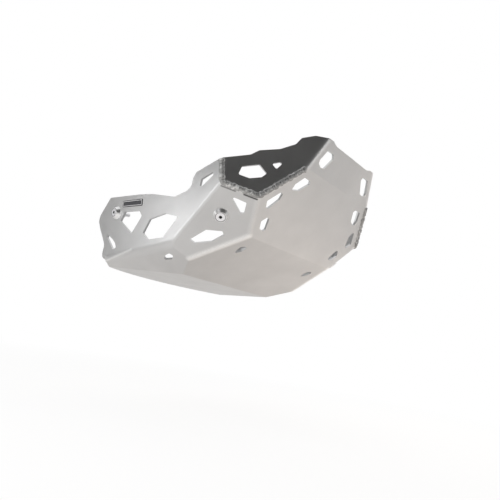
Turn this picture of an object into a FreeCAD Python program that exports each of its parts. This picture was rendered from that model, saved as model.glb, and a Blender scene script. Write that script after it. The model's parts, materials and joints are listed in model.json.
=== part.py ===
import FreeCAD, Part
import math
import os
import Sketcher
from FreeCAD import Placement, Rotation, Vector

# Engine guard: a pan of folded and welded aluminium sheet under a motorbike's engine.
# X points to the front of the bike, Y to its left, Z up. The flat bottom's outer face lies at Z 0, the
# guard is symmetric about the XZ plane, and X 0 is midway between its rear edge and its front top edge.
# Slopes are measured from the level. A side facet's yaw turns its outward face from the right side (0)
# towards the front (90), and its tilt turns that face down.

SIZES = {
    "sheet_thickness": 4.0,
    "bend_radius": 4.0,
    "overall_length": 454.8,
    "front_top_height": 246.0,
    "blank_half_width": 260.0,
    # side profile
    "bottom_fold_x": -13.0,
    "ramp_slope": 25.6,
    "ramp_fold_x": 129.0,
    "front_slope": 56.0,
    "front_fold_height": 187.0,
    "upper_slope": 72.9,
    # side plate
    "side_step": 62.0,
    "side_yaw": -3.3,
    "side_tilt": 6.8,
    # front side panel, folded forward from the side plate
    "side_fold_x": 65.3,
    "side_fold_height": 80.0,
    "panel_yaw": 42.3,
    "panel_tilt": 42.9,
    # cheek plate beside the front plate
    "front_fold_inset": 18.6,
    "cheek_yaw": 51.2,
    "cheek_tilt": -1.8,
    # bevel between the bottom and the side plate
    "bottom_half_width": 125.6,
    "bevel_yaw": 12.45,
    "bevel_tilt": 62.73,
    "rear_corner_x": -183.9,
    "rear_fold_end_x": -178.0,
    "side_bend_radius": 20.0,
    # cut edges
    "outline_radius": 9.0,
    "window_radius": 2.5,
    "scallop_depth": 4.0,
    "scallop_half_width": 55.0,
    # fasteners
    "screw_diameter": 8.0,
    "screw_clearance": 0.5,
    "sheet_hole_diameter": 9.0,
    "washer_base_diameter": 26.0,
    "washer_top_diameter": 18.8,
    "washer_height": 6.0,
    "countersink_diameter": 16.4,
    "head_recess": 0.2,
    "socket_width": 5.0,
    "socket_depth": 3.0,
    "spacer_diameter": 16.0,
    "spacer_length": 12.0,
    "screw_free_length": 13.2,
    "tip_chamfer": 1.0,
    "neck_diameter": 6.4,
    "neck_length": 2.5,
    "rear_screw_along": -156.5,
    "rear_screw_up": 101.6,
    "front_screw_along": 46.0,
    "front_screw_up": 14.0,
    # weld bead round the cheek plate
    "bead_radius": 3.9,
    "bead_sink": 2.2,
    "bead_end_gap": 5.0,
    # bare plate on the right side
    "badge_length": 62.0,
    "badge_width": 12.5,
    "badge_thickness": 0.8,
    "badge_radius": 1.5,
    "badge_along": -105.0,
    "badge_up": 116.5,
}

# Windows cut square through each facet: corners along the level and up the slope, from its origin.
WINDOWS = {
    "side": [
        [(-128, 101.5), (-81, 101), (-72, 91), (-100, 60), (-140, 84.5)],
        [(-64.5, 60), (-47, 84), (-5, 92), (31, 85), (-5, 51), (-48, 48)],
        [(-178, 60), (-160, 50), (-151, 43), (-146, 34), (-157, 31), (-181, 55)],
        [(78.5, 132), (81, 143), (107, 152), (109.5, 147), (84, 131)],
    ],
    "panel": [
        [(57, 51), (83, 44), (81.5, 24), (76, 24)],
        [(0.5, -41), (25.5, -17), (52, -14.5), (55.5, -21), (37, -38), (10, -46.5)],
    ],
    "bevel": [[(-21.5, 39), (-11.5, 52), (1, 58.5), (6, 52.5), (-1.5, 42.5)]],
    "cheek": [
        [(-108.5, -36), (-104.5, -22), (-77.5, -12.5), (-64, -24.5), (-71.5, -32.5), (-90, -38.5)],
        [(-59, -6.5), (-38, 2), (-50, -14)],
    ],
    "front": [
        [(-134.5, 55), (-141.5, 66), (-125.5, 89), (-119.5, 87), (-118, 77), (-128.5, 55.5)],
        [(-118, 19.5), (-125, 32), (-118, 42), (-111.5, 41), (-104, 22), (-107, 17.5)],
    ],
    "front_top": [[(-107.5, -44), (-108.5, -32.5), (-98, -15.5), (-80, -16), (-78, -21.5), (-91, -38.5)]],
    "upper": [[(-84, 16.5), (-84.5, 23), (-74, 43), (-55, 43.5), (-51, 36.5), (-65, 14), (-76, 12.5)]],
    "ramp": [[(-107, 109.5), (-112.5, 124), (-106, 131.5), (-98.5, 128.5), (-97.5, 116), (-102, 106)]],
}

# Cut edges in the same coordinates. The side plate's runs up its rear foot and forward to its wing's tip,
# and the cheek's from that tip up to the front's top edge. The end points are sharp.
FOOT_EDGE = [(-194.2, 17.1), (-188, 40.3)]
FOOT_TOP = (-193.2, 48.2)
SIDE_EDGE = [
    (-210.8, 74.5), (-216.8, 87.6), (-213.7, 98.7), (-182.4, 132.4), (-85.2, 131.4), (-44.2, 128.9),
    (16.8, 119.3), (47.9, 126.9), (58, 133.9), (61.1, 147), (68.2, 156.1),
]
WING_TIP = (125.4, 173.2)
CHEEK_TIP = (-136.6, -15)
CHEEK_EDGE = [(-94.5, 0), (-81.5, 10.5), (-49, 20.5), (-24.5, 35), (-16, 48), (6.7, 57.5)]
CHEEK_FRONT_ALONG = 31.3

# A face lies in a facet when it is parallel within the first value and level with it within the second.
PARALLEL = 0.9999
LEVEL = 0.01
# The corner behind the bevel is notched out of the blank, this far past the bottom's corner and this wide.
NOTCH_GAP = 2.0
NOTCH_WIDTH = 3.0
# The scallop's ends rise over this many times its depth.
SCALLOP_RUN = 4
# A cut edge's end is drawn out by this share of its last stretch, to clear the fold beside it.
RUN_OUT = 2.0
# A corner's rounding takes up at most this share of each side beside it.
ROUNDED_SHARE = 0.45
# Facet that each pair of screws goes through.
SCREW_FACETS = {"rear": "side", "front": "panel"}

doc = FreeCAD.newDocument("engine_guard")
sheet = doc.addObject("Spreadsheet::Sheet", "Sizes")
for row, (name, value) in enumerate(SIZES.items(), start=1):
    sheet.set(f"A{row}", name)
    sheet.set(f"B{row}", str(value))
    sheet.setAlias(f"B{row}", name)
doc.recompute()


def size(name):
    """A driving dimension, read from the sheet."""
    return float(sheet.get(name))


# Expressions for points that follow from the driving dimensions.
RAMP_RISE = "(Sizes.ramp_fold_x - Sizes.bottom_fold_x) * tan(Sizes.ramp_slope)"
FRONT_FOLD_X = f"(Sizes.ramp_fold_x + (Sizes.front_fold_height - {RAMP_RISE}) / tan(Sizes.front_slope))"
SIDE_HALF_WIDTH = "(Sizes.bottom_half_width + Sizes.side_step)"
FRONT_FOLD_HALF_WIDTH = "(Sizes.bottom_half_width - Sizes.front_fold_inset)"
SIDE_FOLD_Y = (
    f"(-{SIDE_HALF_WIDTH} + Sizes.side_fold_x * tan(Sizes.side_yaw)"
    " - Sizes.side_fold_height * tan(Sizes.side_tilt) / cos(Sizes.side_yaw))"
)

# Each facet: origin (x, y, z), yaw and tilt of its outward face.
FACETS = {
    "bottom": ("0", "0", "0", "90", "90"),
    "ramp": ("Sizes.bottom_fold_x", "0", "0", "90", "90 - Sizes.ramp_slope"),
    "front": ("Sizes.ramp_fold_x", "0", RAMP_RISE, "90", "90 - Sizes.front_slope"),
    "upper": (FRONT_FOLD_X, "0", "Sizes.front_fold_height", "90", "90 - Sizes.upper_slope"),
    "side": ("0", f"-{SIDE_HALF_WIDTH}", "0", "Sizes.side_yaw", "Sizes.side_tilt"),
    "panel": ("Sizes.side_fold_x", SIDE_FOLD_Y, "Sizes.side_fold_height",
              "Sizes.panel_yaw", "Sizes.panel_tilt"),
    "cheek": (FRONT_FOLD_X, f"-{FRONT_FOLD_HALF_WIDTH}", "Sizes.front_fold_height",
              "Sizes.cheek_yaw", "Sizes.cheek_tilt"),
    "bevel": ("Sizes.bottom_fold_x", "-Sizes.bottom_half_width", "0", "Sizes.bevel_yaw", "Sizes.bevel_tilt"),
}

# The front facet once more, from its upper fold, for the window that keeps its place under that fold.
WINDOW_SEATS = {"front_top": (FRONT_FOLD_X, "0", "Sizes.front_fold_height", "90", "90 - Sizes.front_slope")}


def facet_frame(name, left=False):
    """Expression of a facet's frame: X along the level, Y up the slope, Z out of the guard."""
    x, y, z, yaw, tilt = (FACETS | WINDOW_SEATS)[name]
    if left:
        y = f"-({y})"
        yaw = f"180 - ({yaw})"
    return f"placement(vector({x}; {y}; {z}); rotation({yaw}; 0; 90 + {tilt}))"


def origin_plane(body, role):
    """One of a body's three origin planes."""
    return next(feature for feature in body.Origin.OriginFeatures if feature.Role == role)


def new_sketch(body, name, role, frame=None):
    """A sketch on an origin plane, or in the frame that an expression gives."""
    sketch = body.newObject("Sketcher::SketchObject", name)
    sketch.AttachmentSupport = [(origin_plane(body, role), "")]
    sketch.MapMode = "FlatFace"
    if frame:
        sketch.setExpression("AttachmentOffset", frame)
    return sketch


def rounded_corner(before, corner, after, radius):
    """First, middle and last point of the arc that rounds a corner as far as its two sides allow."""
    back = before - corner
    ahead = after - corner
    half = back.getAngle(ahead) / 2
    room = ROUNDED_SHARE * min(back.Length, ahead.Length)
    reach = min(radius / math.tan(half), room)
    back.normalize()
    ahead.normalize()
    inward = (back + ahead).normalize()
    middle = corner + inward * (reach / math.cos(half) - reach * math.tan(half))
    return corner + back * reach, middle, corner + ahead * reach


def outline(rounded, radius=0, sharp=()):
    """Closed outline of lines through rounded corners, then through sharp ones."""
    points = [Vector(x, y, 0) for x, y in [*rounded, *sharp]]
    ends = [(point, point) for point in points]
    curves = []
    for i in range(len(rounded)):
        first, middle, last = rounded_corner(points[i - 1], points[i], points[(i + 1) % len(points)], radius)
        ends[i] = (first, last)
        curves.append(Part.ArcOfCircle(first, middle, last))
    for i in range(len(points)):
        curves.append(Part.LineSegment(ends[i - 1][1], ends[i][0]))
    return curves


def cut(body, name, sketch, expression, side="Symmetric", reverse=False):
    """Pocket of a sketch to the depth that an expression gives."""
    pocket = body.newObject("PartDesign::Pocket", name)
    pocket.Profile = sketch
    pocket.SideType = side
    pocket.Reversed = reverse
    pocket.setExpression("Length", expression)
    return pocket


def bind(sketch, bound):
    """Adds named constraints to a sketch, each bound to its expression."""
    for constraint, name, expression in bound:
        index = sketch.addConstraint(constraint)
        sketch.renameConstraint(index, name)
        sketch.setExpression(f"Constraints.{name}", expression)


def profile_sketch(body):
    """Side profile of the blank: bottom, ramp, front plate and upper front, held by named dimensions."""
    sketch = new_sketch(body, "SideProfile", "XZ_Plane")
    half = size("overall_length") / 2
    ramp, front, upper = [math.radians(size(f"{name}_slope")) for name in ("ramp", "front", "upper")]
    first, second = size("bottom_fold_x"), size("ramp_fold_x")
    fold, top = size("front_fold_height"), size("front_top_height")
    rise = (second - first) * math.tan(ramp)
    corners = [(-half, 0), (first, 0), (second, rise), (second + (fold - rise) / math.tan(front), fold),
               (half, top), (-half, top)]
    points = [Vector(x, z, 0) for x, z in corners]
    for i in range(len(points)):
        sketch.addGeometry(Part.LineSegment(points[i], points[(i + 1) % len(points)]))
    for i in range(len(points)):
        sketch.addConstraint(Sketcher.Constraint("Coincident", i, 2, (i + 1) % len(points), 1))
    sketch.addConstraint(Sketcher.Constraint("PointOnObject", 0, 1, -1))
    sketch.addConstraint(Sketcher.Constraint("Horizontal", 0))
    sketch.addConstraint(Sketcher.Constraint("Horizontal", 4))
    sketch.addConstraint(Sketcher.Constraint("Vertical", 5))
    bound = [
        (Sketcher.Constraint("DistanceX", 0, 1, -1, 1, half), "rear_reach", "Sizes.overall_length / 2"),
        (Sketcher.Constraint("DistanceX", -1, 1, 0, 2, first), "bottom_fold", "Sizes.bottom_fold_x"),
        (Sketcher.Constraint("DistanceX", -1, 1, 1, 2, second), "ramp_fold", "Sizes.ramp_fold_x"),
        (Sketcher.Constraint("DistanceY", -1, 1, 2, 2, fold), "front_fold", "Sizes.front_fold_height"),
        (Sketcher.Constraint("DistanceY", -1, 1, 3, 2, top), "front_top", "Sizes.front_top_height"),
        (Sketcher.Constraint("Angle", 1, ramp), "ramp", "Sizes.ramp_slope"),
        (Sketcher.Constraint("Angle", 2, front), "front", "Sizes.front_slope"),
        (Sketcher.Constraint("Angle", 3, upper), "upper", "Sizes.upper_slope"),
    ]
    bind(sketch, bound)
    return sketch


def facet_plane(name):
    """Outward normal of a facet and its distance from the origin."""
    place = sheet.evalExpression(facet_frame(name))
    normal = place.Rotation.multVec(Vector(0, 0, 1))
    return normal, normal.dot(place.Base)


def facet_of(face, depth):
    """Name of the facet whose plane, sunk by a depth, a flat face lies in."""
    if face.Surface.TypeId != "Part::GeomPlane":
        return None
    for name in FACETS:
        normal, distance = facet_plane(name)
        parallel = abs(normal.dot(face.normalAt(0, 0))) > PARALLEL
        if parallel and abs(normal.dot(face.CenterOfMass) - distance + depth) < LEVEL:
            return name
    return None


def folds(shape, depth, wide):
    """Names of the edges between two facets at a depth: the side plate's lower fold, or all others."""
    names = []
    facets = {face.hashCode(): facet_of(face, depth) for face in shape.Faces}
    for index, edge in enumerate(shape.Edges, start=1):
        pair = {facets[face.hashCode()] for face in shape.ancestorsOfType(edge, Part.Face)}
        if None not in pair and (pair == {"side", "bevel"}) == wide:
            names.append(f"Edge{index}")
    return names


def sliced_blank(body):
    """Right half of the outer form: the side profile's pad, sliced along the four side facets."""
    blank = body.newObject("PartDesign::Pad", "Blank")
    blank.Profile = profile_sketch(body)
    blank.setExpression("Length", "Sizes.blank_half_width")
    reach = 2 * size("overall_length")
    for name in ("side", "panel", "cheek", "bevel"):
        sketch = new_sketch(body, f"Facet_{name}", "XY_Plane", facet_frame(name))
        square = [(-reach, -reach), (reach, -reach), (reach, reach), (-reach, reach)]
        sketch.Geometry = outline([], sharp=square)
        cut(body, f"Slice_{name}", sketch, "Sizes.overall_length", "One side", True)


def notch_corner(body):
    """Takes the blank's corner behind the bevel away, where the bevel's two folds run together."""
    far = size("overall_length")
    corner_x, width = rear_corner()
    rear, side = corner_x - NOTCH_GAP, -width + NOTCH_WIDTH
    sketch = new_sketch(body, "CornerNotch", "XY_Plane")
    sketch.Geometry = outline([], sharp=[(rear, side), (rear, -far), (-far, -far), (-far, side)])
    notch = cut(body, "NotchCorner", sketch, "3 * Sizes.sheet_thickness", "One side", True)
    doc.recompute()
    return notch


def bend(body, base, edges, name, radius):
    """Rounds a feature's named edges."""
    fillet = body.newObject("PartDesign::Fillet", name)
    fillet.Base = (base, edges)
    fillet.setExpression("Radius", radius)
    doc.recompute()
    return fillet


def shelled(body, solid):
    """Sheet of even thickness inside the outer form, with the outer and inner folds rounded."""
    shell = body.newObject("PartDesign::Thickness", "Shell")
    faces = enumerate(solid.Shape.Faces, start=1)
    shell.Base = (solid, [f"Face{index}" for index, face in faces if not facet_of(face, 0)])
    shell.setExpression("Value", "Sizes.sheet_thickness")
    shell.Reversed = True
    shell.Join = "Intersection"
    doc.recompute()
    depth = size("sheet_thickness")
    last = shell
    for name, wide in (("side_bend_radius", True), ("bend_radius", False)):
        outer = f"Sizes.{name} + Sizes.sheet_thickness"
        last = bend(body, last, folds(last.Shape, 0, wide), f"Outer_{name}", outer)
        last = bend(body, last, folds(last.Shape, depth, wide), f"Inner_{name}", f"Sizes.{name}")


def rear_corner():
    """Bottom's rear corner: how far forward it lies, and half the bottom's width there."""
    run = size("bottom_fold_x") - size("rear_corner_x")
    width = size("bottom_half_width") + run * math.tan(math.radians(size("bevel_yaw")))
    return size("rear_corner_x"), width


def run_out(before, tip):
    """Point past a cut edge's tip, on the line of its last stretch."""
    return tuple(b + (a - b) * (1 + RUN_OUT) for a, b in zip(tip, before))


def trim(body, name, facet, curves, depth="2.5 * Sizes.sheet_thickness"):
    """Cuts an outline square through one facet's sheet."""
    sketch = new_sketch(body, f"Edge_{name}", "XY_Plane", facet_frame(facet))
    sketch.Geometry = curves
    cut(body, f"Trim_{name}", sketch, depth)


def trim_sides(body):
    """Cut edges of the side plate and the cheek."""
    far = size("overall_length")
    radius = size("outline_radius")
    around = [WING_TIP, (WING_TIP[0], far), (-far, far), (-far, FOOT_TOP[1]), FOOT_TOP]
    trim(body, "side", "side", outline(SIDE_EDGE, radius, around))
    top = (size("front_top_height") - size("front_fold_height")) / math.cos(math.radians(size("cheek_tilt")))
    past = run_out(CHEEK_EDGE[0], CHEEK_TIP)
    around = [(CHEEK_FRONT_ALONG, top), (far, top), (far, far), (past[0], far), past]
    trim(body, "cheek", "cheek", outline(CHEEK_EDGE, radius, around))


def trim_corner(body):
    """Rear end of the bevel and the side plate's foot, cut along the bisector of their fold."""
    far = size("overall_length")
    side, bevel = facet_plane("side"), facet_plane("bevel")
    fold_end = corner(side, bevel, (Vector(1, 0, 0), size("rear_fold_end_x")))
    outward = side[0] + bevel[0]
    view = Placement(fold_end, Rotation(Vector(0, 0, 1).cross(outward), Vector(), outward, "ZXY"))
    plate = sheet.evalExpression(facet_frame("side"))
    corner_x, width = rear_corner()
    edge = [Vector(corner_x, -width, 0), fold_end]
    edge += [plate.multVec(Vector(u, v, 0)) for u, v in [*FOOT_EDGE, run_out(FOOT_EDGE[-1], FOOT_TOP)]]
    low, *rounded, top = [tuple(view.inverse().multVec(point))[:2] for point in edge]
    sketch = new_sketch(body, "Edge_corner", "XY_Plane")
    sketch.AttachmentOffset = view
    sketch.Geometry = outline(rounded, size("outline_radius"), [top, (-far, top[1]), (-far, low[1]), low])
    cut(body, "Trim_corner", sketch, "20 * Sizes.sheet_thickness")


def trim_front(body):
    """Shallow scallop in the front's top edge, between two ears."""
    far = size("overall_length")
    slope = math.radians(size("upper_slope"))
    top = (size("front_top_height") - size("front_fold_height")) / math.sin(slope)
    low = top - size("scallop_depth")
    edge = size("scallop_half_width")
    ear = edge + SCALLOP_RUN * size("scallop_depth")
    around = [(-ear, far), (far, far), (far, low)]
    curves = outline([(-edge, low), (-ear, top)], size("outline_radius"), around)
    trim(body, "front", "upper", curves, "8 * Sizes.sheet_thickness")


def trim_rear(body):
    """Bowed rear edge of the bottom: an arc from its middle to its rear corner."""
    half = size("overall_length") / 2
    corner_x, width = rear_corner()
    bow = half + corner_x
    radius = (bow ** 2 + width ** 2) / (2 * bow)
    turn = math.asin(width / radius)
    arc = [Vector(radius - half - radius * math.cos(angle), -radius * math.sin(angle), 0)
           for angle in (0, turn / 2, turn)]
    behind = [arc[2], Vector(-2 * half, -width, 0), Vector(-2 * half, 0, 0), arc[0]]
    sketch = new_sketch(body, "RearBow", "XY_Plane")
    sketch.Geometry = [Part.ArcOfCircle(*arc)] + [Part.LineSegment(*pair) for pair in zip(behind, behind[1:])]
    cut(body, "TrimRear", sketch, "2 * Sizes.sheet_thickness", "One side", True)


def screw_hole(body, facet, screw):
    """Clearance hole for a screw, square through its facet."""
    sketch = new_sketch(body, f"Hole_{screw}", "XY_Plane", facet_frame(facet))
    along, up = size(f"{screw}_screw_along"), size(f"{screw}_screw_up")
    diameter = size("sheet_hole_diameter")
    sketch.addGeometry(Part.Circle(Vector(along, up, 0), Vector(0, 0, 1), diameter / 2))
    bound = [
        (Sketcher.Constraint("DistanceX", -1, 1, 0, 3, along), "along", f"Sizes.{screw}_screw_along"),
        (Sketcher.Constraint("DistanceY", -1, 1, 0, 3, up), "up", f"Sizes.{screw}_screw_up"),
        (Sketcher.Constraint("Diameter", 0, diameter), "bore", "Sizes.sheet_hole_diameter"),
    ]
    bind(sketch, bound)
    cut(body, f"ScrewHole_{screw}", sketch, "4 * Sizes.sheet_thickness")


def guard_pan():
    """The sheet: right half of the outer form, sliced, shelled, bent, trimmed, cut through and mirrored."""
    body = doc.addObject("PartDesign::Body", "GuardPan")
    body.Label = "guard_pan"
    sliced_blank(body)
    shelled(body, notch_corner(body))
    trim_sides(body)
    trim_corner(body)
    trim_front(body)
    trim_rear(body)
    for facet, windows in WINDOWS.items():
        sketch = new_sketch(body, f"Windows_{facet}", "XY_Plane", facet_frame(facet))
        for corners in windows:
            sketch.addGeometry(outline(corners, size("window_radius")))
        cut(body, f"Cut_{facet}", sketch, "4 * Sizes.sheet_thickness")
    for screw, facet in SCREW_FACETS.items():
        screw_hole(body, facet, screw)
    doc.recompute()
    mirrored = body.newObject("PartDesign::Mirrored", "BothHalves")
    mirrored.TransformMode = "Whole shape"
    mirrored.MirrorPlane = (origin_plane(body, "XZ_Plane"), [""])
    body.Tip = mirrored
    doc.recompute()
    return body


def primitive(kind, name, depth="0", **sizes):
    """A Part primitive on the Z axis, with its sizes and its height over the sheet bound to expressions."""
    solid = doc.addObject(f"Part::{kind}", name)
    for key, expression in sizes.items():
        solid.setExpression(key, expression)
    solid.setExpression("Placement.Base.z", depth)
    return solid


def boolean(kind, name, base, tool):
    """A Part boolean of two objects."""
    result = doc.addObject(f"Part::{kind}", name)
    result.Base = base
    result.Tool = tool
    return result


def shifted(along, up):
    """Expression of a move within a facet."""
    return f"placement(vector({along}; {up}; 0); rotation(0; 0; 0))"


def seat(solid, label, screw, left):
    """Labels a piece and puts it on its screw's axis, with Z out of the sheet's outer face."""
    solid.Label = label
    frame = facet_frame(SCREW_FACETS[screw], left)
    along = f"{'-' if left else ''}Sizes.{screw}_screw_along"
    solid.setExpression("Placement", f"{frame} * {shifted(along, f'Sizes.{screw}_screw_up')}")
    return solid


SHANK_RADIUS = "Sizes.screw_diameter / 2"
BORE_RADIUS = "(Sizes.screw_diameter + Sizes.screw_clearance) / 2"
COUNTERSINK_DEPTH = f"(Sizes.countersink_diameter / 2 - {BORE_RADIUS})"
HEAD_RADIUS = "(Sizes.countersink_diameter / 2 - Sizes.head_recess)"
HEAD_DEPTH = f"({HEAD_RADIUS} - {SHANK_RADIUS})"
HEAD_TOP = "(Sizes.washer_height - Sizes.head_recess)"
SLEEVE_END = "(-Sizes.sheet_thickness - Sizes.spacer_length)"
SCREW_END = f"({SLEEVE_END} - Sizes.screw_free_length)"


def cone_washer(tag):
    """Turned washer: a cone that shields the screw's head, bored and countersunk at 90 degrees."""
    cone = primitive("Cone", f"WasherCone_{tag}", Radius1="Sizes.washer_base_diameter / 2",
                     Radius2="Sizes.washer_top_diameter / 2", Height="Sizes.washer_height")
    bore = primitive("Cylinder", f"WasherBore_{tag}", Radius=BORE_RADIUS, Height="Sizes.washer_height")
    sink = primitive("Cone", f"WasherSink_{tag}", f"Sizes.washer_height - {COUNTERSINK_DEPTH}",
                     Radius1=BORE_RADIUS, Radius2="Sizes.countersink_diameter / 2", Height=COUNTERSINK_DEPTH)
    bored = boolean("Cut", f"WasherBored_{tag}", cone, bore)
    return boolean("Cut", f"Washer_{tag}", bored, sink)


def screw_rod(tag):
    """Head cone, plain shank as far as the sleeve's end, neck, threaded end drawn plain and chamfered tip."""
    shank_top = f"{HEAD_TOP} - {HEAD_DEPTH}"
    neck_end = f"{SLEEVE_END} - Sizes.neck_length"
    tip_top = f"{SCREW_END} + Sizes.tip_chamfer"
    body = primitive("Cone", f"ScrewHead_{tag}", shank_top, Radius1=SHANK_RADIUS, Radius2=HEAD_RADIUS,
                     Height=HEAD_DEPTH)
    stretches = {
        "Shank": (SHANK_RADIUS, SLEEVE_END, shank_top),
        "Neck": ("Sizes.neck_diameter / 2", neck_end, SLEEVE_END),
        "Thread": (SHANK_RADIUS, tip_top, neck_end),
    }
    for name, (radius, low, high) in stretches.items():
        stretch = primitive("Cylinder", f"Screw{name}_{tag}", low, Radius=radius, Height=f"{high} - ({low})")
        body = boolean("Fuse", f"ScrewTo{name}_{tag}", body, stretch)
    tip = primitive("Cone", f"ScrewTip_{tag}", SCREW_END, Radius1=f"{SHANK_RADIUS} - Sizes.tip_chamfer",
                    Radius2=SHANK_RADIUS, Height="Sizes.tip_chamfer")
    return boolean("Fuse", f"ScrewRod_{tag}", body, tip)


def countersunk_screw(tag):
    """M8 screw with a 90 degree head and a hexagon socket."""
    socket = primitive("Prism", f"ScrewSocket_{tag}", f"{HEAD_TOP} - Sizes.socket_depth",
                       Circumradius="Sizes.socket_width / 2 / cos(30)", Height="Sizes.socket_depth")
    return boolean("Cut", f"Screw_{tag}", screw_rod(tag), socket)


def spacer_sleeve(tag):
    """Sleeve behind the sheet that keeps the guard clear of the engine."""
    rod = primitive("Cylinder", f"SpacerRod_{tag}", SLEEVE_END, Radius="Sizes.spacer_diameter / 2",
                    Height="Sizes.spacer_length")
    bore = primitive("Cylinder", f"SpacerBore_{tag}", SLEEVE_END, Radius=BORE_RADIUS,
                     Height="Sizes.spacer_length")
    return boolean("Cut", f"Spacer_{tag}", rod, bore)


def fasteners():
    """Screw, washer and spacer at each of the four fixing points."""
    builders = {"screw": countersunk_screw, "washer": cone_washer, "spacer": spacer_sleeve}
    pieces = []
    for screw in SCREW_FACETS:
        for side in ("right", "left"):
            for kind, build in builders.items():
                piece = build(f"{screw}_{side}")
                pieces.append(seat(piece, f"{screw}_{kind}_{side}", screw, side == "left"))
    return pieces


def corner(*planes):
    """Point where three planes meet."""
    (a, i), (b, j), (c, k) = planes
    return (b.cross(c) * i + c.cross(a) * j + a.cross(b) * k) / a.dot(b.cross(c))


def seam():
    """Axis of the bead along the front plate, the front panel and the side plate, and its outward ways."""
    planes = {}
    for facet in FACETS:
        normal, distance = facet_plane(facet)
        planes[facet] = (normal, distance - size("bead_sink"))
    planes["rim"] = (Vector(0, 0, 1), WING_TIP[1] * math.cos(math.radians(size("side_tilt"))))
    order = ("upper", "front", "panel", "side", "rim")
    points = [corner(planes[a], planes[b], planes["cheek"]) for a, b in zip(order, order[1:])]
    gap = size("bead_end_gap")
    points[0] += (points[1] - points[0]).normalize() * gap
    points[-1] += (points[-2] - points[-1]).normalize() * gap
    outward = [planes[facet][0] + planes["cheek"][0] for facet in order[1:4]]
    return points, outward


def bead_solids():
    """Half-round rods along the seam and half balls at its ends and turns."""
    points, outward = seam()
    facing = [outward[0], outward[0] + outward[1], outward[1] + outward[2], outward[2]]
    solids = []
    for index, point in enumerate(points):
        ball = doc.addObject("Part::Sphere", f"BeadBall_{index}")
        ball.Angle1 = 0
        ball.Placement = Placement(point, Rotation(Vector(0, 0, 1), facing[index]))
        solids.append(ball)
    for index, way in enumerate(outward):
        run = points[index + 1] - points[index]
        rod = doc.addObject("Part::Cylinder", f"BeadRod_{index}")
        rod.Angle = 180
        rod.Height = run.Length
        rod.Placement = Placement(points[index], Rotation(Vector(), way, run, "ZYX"))
        solids.append(rod)
    for solid in solids:
        solid.setExpression("Radius", "Sizes.bead_radius")
    return solids


def weld_beads(sheet_body):
    """Filler bead on the cheek's three seams, resting on the sheet, and its mirror image."""
    whole = doc.addObject("Part::MultiFuse", "BeadWhole")
    whole.Shapes = bead_solids()
    right = boolean("Cut", "BeadRight", whole, sheet_body)
    right.Label = "weld_bead_right"
    left = doc.addObject("Part::Mirroring", "BeadLeft")
    left.Source = right
    left.Normal = Vector(0, 1, 0)
    left.Label = "weld_bead_left"
    return [right, left]


def badge_plate():
    """Bare dark plate stuck on the right side plate."""
    body = doc.addObject("PartDesign::Body", "BadgePlate")
    body.Label = "badge_plate"
    length, width = size("badge_length") / 2, size("badge_width") / 2
    sketch = new_sketch(body, "BadgeOutline", "XY_Plane")
    corners = [(-length, -width), (length, -width), (length, width), (-length, width)]
    sketch.Geometry = outline(corners, size("badge_radius"))
    pad = body.newObject("PartDesign::Pad", "BadgePad")
    pad.Profile = sketch
    pad.setExpression("Length", "Sizes.badge_thickness")
    place = shifted("Sizes.badge_along", "Sizes.badge_up")
    body.setExpression("Placement", f"{facet_frame('side')} * {place}")
    return body


pan = guard_pan()
pieces = [pan] + fasteners() + weld_beads(pan) + [badge_plate()]
doc.recompute()

failed = [obj.Name for obj in doc.Objects if "Invalid" in obj.State or "Error" in obj.State]
if failed:
    raise RuntimeError(f"these objects failed: {failed}")
for piece in pieces:
    if piece.Shape.isNull() or not piece.Shape.isValid():
        raise RuntimeError(f"{piece.Label} has no valid shape")

os.makedirs("parts", exist_ok=True)
for piece in pieces:
    piece.Shape.exportStep(f"parts/{piece.Label}.step")
    print(piece.Label, len(piece.Shape.Solids), "solid", round(piece.Shape.Volume), "mm3")
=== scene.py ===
# %% [markdown]
# # An engine guard of folded and welded aluminium
# The guard is a sheet-metal pan on four screws. Its sheet was cut flat, folded, welded at the corners and
# bead blasted. The solids already hold every fold, window and screw at real size, so this lesson adds what a
# solid lacks: the rippled weld filler, a ground ridge at each rear corner, and the finish of each metal.

# %% Load the solids
import json

import bmesh
import bpy
import numpy as np
from mathutils import Matrix, Vector


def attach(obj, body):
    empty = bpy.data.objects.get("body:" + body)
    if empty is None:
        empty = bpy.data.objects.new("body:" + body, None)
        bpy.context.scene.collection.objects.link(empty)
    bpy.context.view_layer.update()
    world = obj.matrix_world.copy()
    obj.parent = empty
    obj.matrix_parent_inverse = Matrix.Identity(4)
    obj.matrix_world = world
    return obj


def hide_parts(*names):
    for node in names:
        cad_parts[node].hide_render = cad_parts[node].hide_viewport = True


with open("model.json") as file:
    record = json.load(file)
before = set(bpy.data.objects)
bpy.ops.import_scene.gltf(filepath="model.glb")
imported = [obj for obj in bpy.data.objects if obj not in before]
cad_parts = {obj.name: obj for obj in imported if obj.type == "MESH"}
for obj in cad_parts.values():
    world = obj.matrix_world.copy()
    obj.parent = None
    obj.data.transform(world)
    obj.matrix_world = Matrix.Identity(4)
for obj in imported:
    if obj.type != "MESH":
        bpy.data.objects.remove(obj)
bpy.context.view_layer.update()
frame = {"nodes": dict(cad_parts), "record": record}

nodes = frame["nodes"]
print("solids:", sorted(nodes))

# %% [markdown]
# ## Corners of the folded pan
# Three facets meet at each corner of the pan. The welds and the ridge follow the lines between those corners,
# so the corners are named once here, for the right side. The left side is the same with y turned round.
# Typing the corners in beats reading them from the mesh: a rounded fold has no vertex at its sharp corner.

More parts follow.
